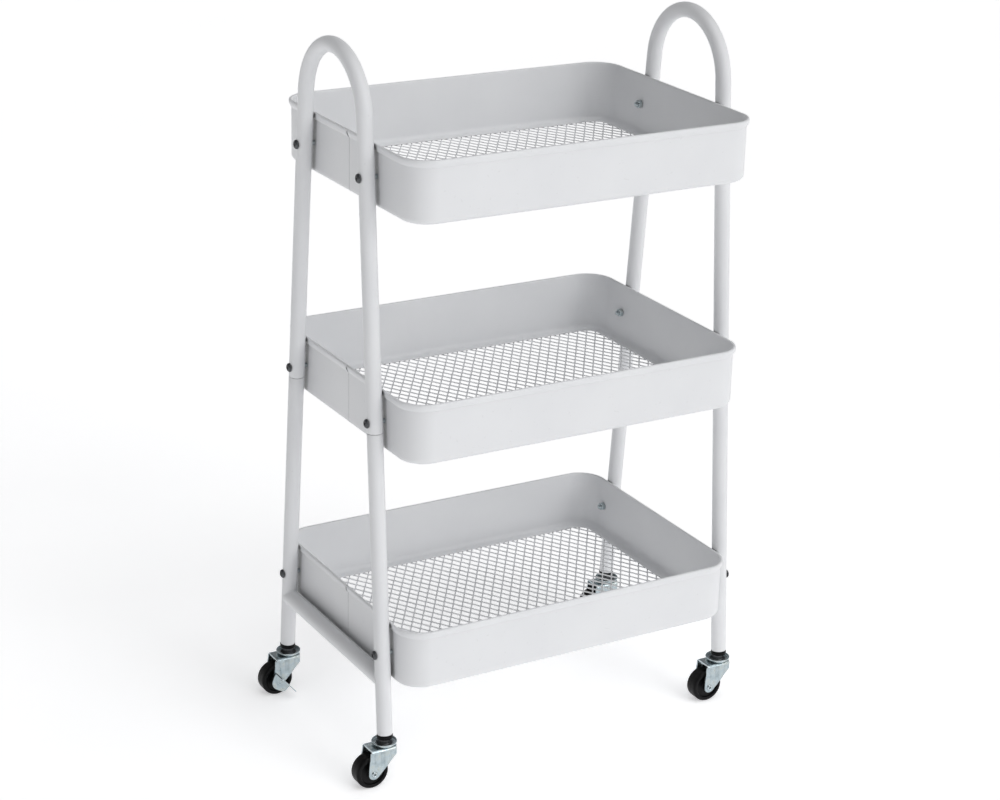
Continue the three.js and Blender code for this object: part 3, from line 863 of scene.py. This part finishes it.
def screw_mesh(length):
    """Pan-head screw with a cross recess. It runs from its head, at -Z, to its tip."""
    head = SCREW_HEAD
    height = SCREW_HEAD_HEIGHT
    bm = bmesh.new()
    # The pan's outline from its crown to its seat, in shares of its radius and height.
    pan = [(0, 1), (0.35, 0.985), (0.6, 0.92), (0.8, 0.75), (0.93, 0.5), (0.99, 0.22), (1, 0.08)]
    outline = [(out * head, -up * height) for out, up in pan]
    outline += [(0.98 * head, 0), (SCREW, 0), (SCREW, 1), (0, 1)]
    turned(bm, outline, 40)
    cutter = bmesh.new()
    cross_recess(cutter, 0)
    bmesh.ops.rotate(cutter, matrix=Matrix.Rotation(math.pi, 3, "X"), verts=cutter.verts)
    bmesh.ops.translate(cutter, vec=(0, 0, -height), verts=cutter.verts)
    knife = to_mesh(cutter, "recess")
    with_recess = cut_mesh(to_mesh(bm, "head"), knife)
    bm = bmesh.new()
    bm.from_mesh(with_recess)
    bmesh.ops.scale(bm, vec=(1 / MM, 1 / MM, 1 / MM), verts=bm.verts)
    plain_end = length - SCREW_TIP - NUT_HEIGHT
    joined = 0.5  # how far the shank's parts run into each other
    shank = bmesh.new()
    turned(shank, [(0, joined), (SCREW, joined), (SCREW, plain_end), (0, plain_end)], 24)
    thread = thread_rows(SCREW, THREAD_DEPTH, plain_end - joined, length - joined)
    skin(shank, thread, wrap_points=True, caps=True)
    tip = [(SCREW - 0.5, length - 0.6), (SCREW - 0.9, length), (0, length)]
    turned(shank, tip, 24)
    loose = bpy.data.meshes.new("shank")
    shank.to_mesh(loose)
    bm.from_mesh(loose)
    mesh = to_mesh(bm, "screw")
    mesh.materials.append(MATERIALS["dark_steel"])
    mesh.materials.append(MATERIALS["zinc_plate"])
    shank_starts = 0.4 * MM
    for face in mesh.polygons:
        face.material_index = 1 if face.center.z > shank_starts else 0
    return mesh


def nut_mesh():
    """Hexagon nut on Z = 0 with both faces' corners turned off."""
    half_flats = NUT_FLATS / 2
    facets = 60
    bore = SCREW + 0.05
    mouth = 0.4  # the bore's chamfer
    bevel = 0.42  # how far down its corners are turned off
    face = half_flats - 0.15
    corner = half_flats / math.cos(math.pi / 6)

    def hexagon(turn):
        inside = (turn + math.pi / 6) % (math.pi / 3) - math.pi / 6
        return half_flats / math.cos(inside)

    profile = [
        (bore + mouth, 0, False),
        (face, 0, False),
        (corner, bevel, True),
        (corner, NUT_HEIGHT - bevel, True),
        (face, NUT_HEIGHT, False),
        (bore + mouth, NUT_HEIGHT, False),
        (bore, NUT_HEIGHT - mouth, False),
        (bore, mouth, False),
    ]
    rows = []
    for radius, height, clipped in profile:
        row = []
        for turn in circle_turns(facets):
            here = min(radius, hexagon(turn)) if clipped else radius
            row.append(Vector((here * math.cos(turn), here * math.sin(turn), height)))
        rows.append(row)
    bm = bmesh.new()
    skin(bm, rows, wrap_rows=True, wrap_points=True)
    return to_mesh(bm, "nut", sharp_degrees=20)


def add_fasteners():
    seat = LEG_REACH + TUBE + GAP
    wall_inside = TRAY_LENGTH / 2 - RIM_REACH - SHEET
    length = seat - (wall_inside - GAP - NUT_HEIGHT) + SCREW_TIP
    screw = screw_mesh(length)
    nut = nut_mesh()
    spin_degrees = 67  # from one screw to the next, so that no two stand alike
    number = 0
    for side_name, side in SIDES:
        inwards = Matrix.Rotation(-side * math.pi / 2, 3, "Y")
        for end_name, end in ENDS:
            for level in LEVELS:
                number += 1
                z = RIM_Z[level] - SCREW_BELOW_RIM
                y = end * leg_y(z)
                name = f"{level}_{end_name}_{side_name}"
                spun = inwards @ Matrix.Rotation(math.radians(spin_degrees * number), 3, "Z")
                screw_at = (CENTRE_X + side * seat, y, z)
                nut_at = (CENTRE_X + side * (wall_inside - GAP), y, z)
                nodes = [f"screw_{name}"]
                place_piece(f"bolt_{name}", screw, "dark_steel", "cart", nodes, screw_at, spun)
                nodes = [f"nut_{name}"]
                place_piece(f"hex_nut_{name}", nut, "zinc_plate", "cart", nodes, nut_at, spun)


# ---------------------------------------------------------------- casters
def plug_mesh(end):
    """Plug's collar between the leaning leg and the level caster, with the plug above it.
    Its origin is on the leg's axis at the leg's lower end."""
    facets = 48
    lean = Matrix.Rotation(end * LEG_TILT, 3, "X")
    axes_meet = 14  # the swivel axis crosses the leg's this far up
    to_swivel = Vector((0, 0.35 * end * (leg_y(LEG_END + axes_meet) - leg_y(LEG_END)), 0))
    bottom = COLLAR_BOTTOM - LEG_END
    plug_top = 8
    level_rings = [(5, bottom), (COLLAR - 0.9, bottom), (COLLAR - 0.25, bottom + 0.25)]
    leaning_rings = [
        (COLLAR, -2.6),
        (COLLAR, -0.9),
        (COLLAR - 0.3, -0.35),
        (TUBE - 1.6, -0.3),
        (TUBE - 1.7, plug_top),
        (2, plug_top),
    ]
    rows = [[to_swivel + point for point in ring(*size, facets)] for size in level_rings]
    rows += [[lean @ point for point in ring(*size, facets)] for size in leaning_rings]
    bm = bmesh.new()
    skin(bm, rows, wrap_points=True, caps=True)
    return to_mesh(bm, "plug")


def stem_mesh():
    """Raceway cup whose dish is painted dark as shade, its boss and stem, and the kingpin's peened end.
    Heights are above the floor, on the swivel axis."""
    low = CUP_BOTTOM
    top = low + 3
    pin_top = FORK_TOP - FORK_SHEET - GAP
    boss_top = COLLAR_BOTTOM - GAP
    stem_radius, stem_top = 3.5, LEG_END + 12
    edge_radius = 0.5
    bowl = (10.6, low + 2.3)  # centre of the cup's round bottom
    bowl_outside, bowl_inside = 2.4, 1.35
    dish_edge = 8.9
    pin = [(0, pin_top - 2.1), (2.2, pin_top - 2.2), (4.1, pin_top - 1.9), (5, pin_top - 1)]
    pin += [(5, pin_top - 0.2), (4.8, pin_top), (3, pin_top), (3, low)]
    cup = [(10.0, low), *arc(bowl, bowl_outside, -75, -5, 6)]
    cup += arc((CUP - edge_radius, top - edge_radius), edge_radius, 0, 180, 6)
    cup += arc(bowl, bowl_inside, -10, -90, 5)
    boss = [(8.6, low + 0.8), (7.8, low + 0.95), (7.2, low + 1.6), (6.9, low + 2.8)]
    boss += [(6.7, boss_top - 0.3), (6.3, boss_top), (stem_radius, boss_top)]
    profile = pin + cup + boss + [(stem_radius, stem_top), (0, stem_top)]
    bm = bmesh.new()
    turned(bm, profile, 56)
    mesh = to_mesh(bm, "stem")
    mesh.materials.append(MATERIALS["zinc_plate"])
    mesh.materials.append(MATERIALS["dark_steel"])
    # Painted shade: the dish's faces inside dish_edge get the dark steel, standing in for shade and the
    # dark reflection in the dish.
    for face in mesh.polygons:
        near_axis = face.center.xy.length < dish_edge * MM
        painted_shade_dish = near_axis and low + 0.6 < face.center.z / MM < COLLAR_BOTTOM
        face.material_index = 1 if painted_shade_dish else 0
    return mesh


def sheet_rows(stations, columns):
    """Rows of a bent sheet. Each station gives a row's y and z, where it starts and ends along
    X, and a function that puts each of its points in place."""
    rows = []
    for y, z, back, front, shape in stations:
        row = []
        for i in range(columns + 1):
            x = back + (front - back) * i / columns
            row.append(shape(x, y, z))
        rows.append(row)
    return rows


def smooth_step(value, low, high):
    """Rises smoothly from 0 at low to 1 at high."""
    share = max(0, min(1, (value - low) / (high - low)))
    return share * share * (3 - 2 * share)


def fork_side_span(z):
    """Where a side plate starts and ends along X at this height: round the axle at its foot,
    then a straight front edge that leans forward and bends upright below the top plate."""
    forward_per_height = 0.98
    above_axle = z - WHEEL
    half = math.sqrt(max(FORK_FOOT**2 - above_axle**2, 0.01))
    foot_back = -TRAIL - FORK_FOOT
    tail = FORK_TAIL + (foot_back - FORK_TAIL) * (1 - smooth_step(z, WHEEL, FORK_TOP + 6))
    back = -TRAIL - half if above_axle < 0 else tail
    tangent_z = WHEEL - FORK_FOOT * math.sin(math.radians(45))
    tangent_x = -TRAIL + FORK_FOOT * math.cos(math.radians(45))
    if z < tangent_z:
        return back, -TRAIL + half
    knee = smooth_step(z, tangent_z + 18, FORK_TOP - 1)
    straight = tangent_x + (z - tangent_z) * forward_per_height
    return back, min(straight * (1 - knee) + FORK_FRONT * knee, FORK_FRONT)


def pressed(x, y, z):
    """A point of a fork's side with its pressed channel between two ribs."""
    side = -1 if y < 0 else 1
    rib_height, channel_depth = 0.75, 0.55
    rib_width, channel_width = 2.0, 2.6
    rear_rib, front_rib = -11.8, -0.6
    channel_x = (rear_rib + front_rib) / 2
    fade = smooth_step(z, 19, 31) * (1 - smooth_step(z, 38, 42.5))
    ribs = sum(math.exp(-(((x - centre) / rib_width) ** 4)) for centre in (rear_rib, front_rib))
    channel = math.exp(-(((x - channel_x) / channel_width) ** 4))
    inwards = fade * (rib_height - rib_height * min(ribs, 1) + channel_depth * channel)
    return Vector((x, y - side * inwards, z))


def plain(x, y, z):
    """A point of a sheet that is left as it is."""
    return Vector((x, y, z))


def fork_mesh():
    """The fork's outer skin: up one side, over the top plate and down the other."""
    bend = 2.6
    foot_z = WHEEL - FORK_FOOT
    side_steps = 34
    top_steps = 12
    side = []
    for i in range(side_steps + 1):
        share = (i / side_steps) ** 1.25  # closer rows round the foot
        z = foot_z + 0.05 + (FORK_TOP - bend - foot_z) * share
        side.append((-FORK_OUTER, z, *fork_side_span(z), pressed))
    corner = []
    for y, z in arc((-FORK_OUTER + bend, FORK_TOP - bend), bend, 180, 90, 6)[1:]:
        corner.append((y, z, FORK_TAIL, FORK_FRONT, plain))
    top = []
    half = FORK_OUTER - bend
    for i in range(1, top_steps):
        y = -half + 2 * half * i / top_steps
        nose = FORK_FRONT - 0.2 + 2.1 * math.sqrt(1 - (y / FORK_OUTER) ** 2)
        top.append((y, FORK_TOP, FORK_TAIL, nose, plain))
    stations = side + corner + top
    mirrored = [(-y, z, back, front, shape) for y, z, back, front, shape in reversed(side + corner)]
    bm = bmesh.new()
    skin(bm, sheet_rows(stations + mirrored, 26))
    return to_mesh(bm, "fork", sharp_degrees=50)


def race_mesh():
    """Raised ball race on the fork's top plate."""
    low = FORK_TOP - 0.2  # a little into the plate
    high = CUP_BOTTOM - GAP
    profile = [(10.2, low), (9.8, low + 0.5), (9.0, high - 0.5), (8.2, high), (3.6, high)]
    profile += [(3.4, high - 0.3), (3.4, low)]
    bm = bmesh.new()
    turned(bm, profile, 48)
    return to_mesh(bm, "race")


def wheel_mesh():
    """Solid wheel about the Y axis, with shallow recessed faces and a crowned tread."""
    half = WHEEL_HALF_WIDTH
    shoulder_radius = 2.0
    parting_line = 0.12
    face = [(2.6, 6.0), (2.9, 6.25), (5.9, 6.25), (6.3, 5.9), (6.6, 5.5), (7.2, 5.4)]
    face += [(12.0, 5.4), (12.6, 5.6), (13.0, 6.3), (13.3, 7.2), (13.8, half), (15.4, half)]
    shoulder_centre = (WHEEL - shoulder_radius, half - shoulder_radius)
    shoulder = arc(shoulder_centre, shoulder_radius, 90, 12, 7)
    crown = [(WHEEL, 3.0), (WHEEL, 0.35), (WHEEL, 0.2), (WHEEL - parting_line, parting_line)]
    outline = face + shoulder + crown
    mirrored = [(radius, -width) for radius, width in reversed(outline)]
    bm = bmesh.new()
    turned(bm, outline + mirrored, 80, axis="Y", closed=True)
    return to_mesh(bm, "wheel")


def axle_mesh(braked):
    """Riveted axle along Y: rolled heads with a small hollow in each."""
    far = FORK_OUTER + 0.05
    near = far + (BRAKE_SHEET + GAP if braked else 0)
    head = AXLE_HEAD

    def rivet(face):
        return [
            (0, face + 0.2),
            (1.1, face + 0.25),
            (1.45, face + 1.15),
            (1.95, face + 1.38),
            (2.55, face + 1.2),
            (head - 0.1, face + 0.6),
            (head, face),
            (2.0, face),
        ]

    near_side = [(radius, -width) for radius, width in rivet(near)]
    far_side = [(radius, width) for radius, width in reversed(rivet(far))]
    bm = bmesh.new()
    turned(bm, near_side + far_side, 36, axis="Y")
    return to_mesh(bm, "axle")


def brake_rows():
    """Brake lever round the axle before it is tilted: a plate, then its top edge bent out
    into a pedal with rounded outer corners."""
    disc = 9.0  # radius of the plate below the axle
    edge = 4.5  # height of the pedal over the axle
    heel, arm, toe = -11.0, 13.0, 17.0
    widening = -3.5
    bend = 1.4
    corner = 3.0
    corner_share = 0.25  # of the pedal's reach
    face = -FORK_OUTER - GAP - BRAKE_SHEET
    low, high = -disc + 0.04, edge - bend
    steps = 24
    pedal_steps = 12
    stations = []
    for i in range(steps + 1):
        z = low + (high - low) * i / steps
        half = math.sqrt(disc**2 - z**2)
        back = -half + (heel + half) * smooth_step(z, widening, high)
        front = half + (arm - half) * smooth_step(z, -disc, widening)
        stations.append((face, z, back, front, plain))
    for y, z in arc((face - bend, high), bend, 0, 90, 5)[1:]:
        share = (z - high) / bend
        stations.append((y, z, heel, arm + (toe - arm) * share, plain))
    start = face - bend
    end = -FORK_OUTER - GAP - PEDAL_REACH + 0.2
    for i in range(1, pedal_steps + 1):
        share = i / pedal_steps
        into_corner = max(0, (share - 1 + corner_share) / corner_share)
        inset = corner * (1 - math.sqrt(1 - into_corner**2))
        stations.append((start + (end - start) * share, edge, heel + inset, toe - inset, plain))
    return sheet_rows(stations, 24)


def brake_mesh():
    bm = bmesh.new()
    skin(bm, brake_rows())
    bmesh.ops.rotate(bm, matrix=Matrix.Rotation(BRAKE_SLOPE, 3, "Y"), verts=bm.verts)
    return to_mesh(bm, "brake", sharp_degrees=50)


def add_caster(end_name, end, side_name, meshes):
    name = f"{end_name}_{side_name}"
    swivel = JOINT_AT[f"swivel_{name}"]
    axle = JOINT_AT[f"wheel_spin_{name}"]
    foot = (swivel.x, end * leg_y(LEG_END), LEG_END)
    upright = (swivel.x, swivel.y, 0)
    caster = f"caster_{name}"
    braked = f"brake_{name}" in JOINT_AT

    def put(piece, mesh, material_slot, body, node, at):
        return place_piece(f"{piece}_{name}", meshes[mesh], material_slot, body, [f"{node}_{name}"], at)

    put("collar", f"plug_{end_name}", "black_plastic", "cart", "plug", foot)
    put("cup", "stem", "zinc_plate", "cart", "stem", upright)
    fork = put("yoke", "fork", "zinc_plate", caster, "fork", upright)
    thicken(fork, FORK_SHEET)
    soften(fork, 0.25)
    put("race", "race", "zinc_plate", caster, "fork", upright)
    put("tyre", "wheel", "black_rubber", f"wheel_{name}", "wheel", axle)
    put("rivet", "axle_braked" if braked else "axle", "zinc_plate", caster, "axle", axle)
    if braked:
        lever = put("pedal", "brake", "zinc_plate", f"brake_{name}", "brake_lever", axle)
        thicken(lever, BRAKE_SHEET)
        soften(lever, 0.2)


def add_casters():
    meshes = {
        "plug_front": plug_mesh(-1),
        "plug_rear": plug_mesh(1),
        "stem": stem_mesh(),
        "fork": fork_mesh(),
        "race": race_mesh(),
        "wheel": wheel_mesh(),
        "axle": axle_mesh(False),
        "axle_braked": axle_mesh(True),
        "brake": brake_mesh(),
    }
    for side_name, _ in SIDES:
        for end_name, end in ENDS:
            add_caster(end_name, end, side_name, meshes)


# ---------------------------------------------------------------- studio
FLOOR_GLOW = 0.52  # a light table's, which keeps the floor pale in the cart's shade
FLOOR_RADIUS = 300000.0  # so far that its edge meets the horizon


def floor_material():
    """Even pale floor, faintly lit from below."""
    material, tree, shader, place = new_material("studio_floor")
    tone = noise(tree, place, 1.5, detail=2)
    colour = ramp(tree, tone, (0.3, (0.88, 0.88, 0.885)), (0.7, (0.90, 0.90, 0.905)))
    link(tree, shader, Base_Color=colour, Emission_Color=colour)
    shader.inputs["Roughness"].default_value = 0.75
    shader.inputs["Emission Strength"].default_value = FLOOR_GLOW
    return material


def add_floor():
    bm = bmesh.new()
    bmesh.ops.create_circle(bm, cap_ends=True, radius=FLOOR_RADIUS, segments=64)
    mesh = to_mesh(bm, "studio_floor")
    mesh.materials.append(floor_material())
    floor = bpy.data.objects.new("studio_floor", mesh)
    bpy.context.scene.collection.objects.link(floor)


def add_sun(name, at, softness_degrees, power):
    """A broad, distant light that comes from the direction at, the same all over the floor."""
    data = bpy.data.lights.new(name, "SUN")
    data.angle = math.radians(softness_degrees)
    data.energy = power
    light = bpy.data.objects.new(name, data)
    light.rotation_mode = "QUATERNION"
    light.rotation_quaternion = (-Vector(at)).to_track_quat("-Z", "Y")
    bpy.context.scene.collection.objects.link(light)


def add_world():
    """Pale at the horizon, to carry the floor on, greyer overhead and dimmer to the left."""
    left_light = 0.55  # share of the sky's light that is left there
    world = bpy.data.worlds.new("studio")
    world.use_nodes = True
    tree = world.node_tree
    direction = add_node(tree, "ShaderNodeTexCoord").outputs["Generated"]
    apart = add_node(tree, "ShaderNodeSeparateXYZ", {"Vector": direction})
    height = spread(tree, apart.outputs["Z"], 0, 1, from_low=0.08, from_high=0.6)
    sky = ramp(
        tree,
        height,
        (0.0, (0.98, 0.983, 0.986)),
        (0.5, (0.35, 0.353, 0.358)),
        (1.0, (0.10, 0.102, 0.106)),
    )
    dimmer = spread(tree, apart.outputs["X"], left_light, 1, from_low=-0.9, from_high=0.3)
    shaded = add_node(tree, "ShaderNodeVectorMath", {0: sky, 1: dimmer}, operation="MULTIPLY")
    tree.links.new(shaded.outputs[0], tree.nodes["Background"].inputs["Color"])
    bpy.context.scene.world = world


def add_lighting():
    """A very broad light overhead, a smaller one low at the front right, and the sky."""
    add_sun("overhead", at=(0.15, -0.4, 1.0), softness_degrees=60, power=1.35)
    add_sun("key", at=(0.40, -1.0, 0.42), softness_degrees=26, power=0.6)
    add_world()
    bpy.context.scene.view_settings.view_transform = "Standard"


MATERIALS = {
    "white_powder_coat": powder_coat(),
    "zinc_plate": zinc_plate(),
    "dark_steel": dark_steel(),
    "black_plastic": black_plastic(),
    "black_rubber": wheel_rubber(),
}

make_camera()
add_lighting()
add_floor()
add_trays()
add_frame()
add_fasteners()
add_casters()
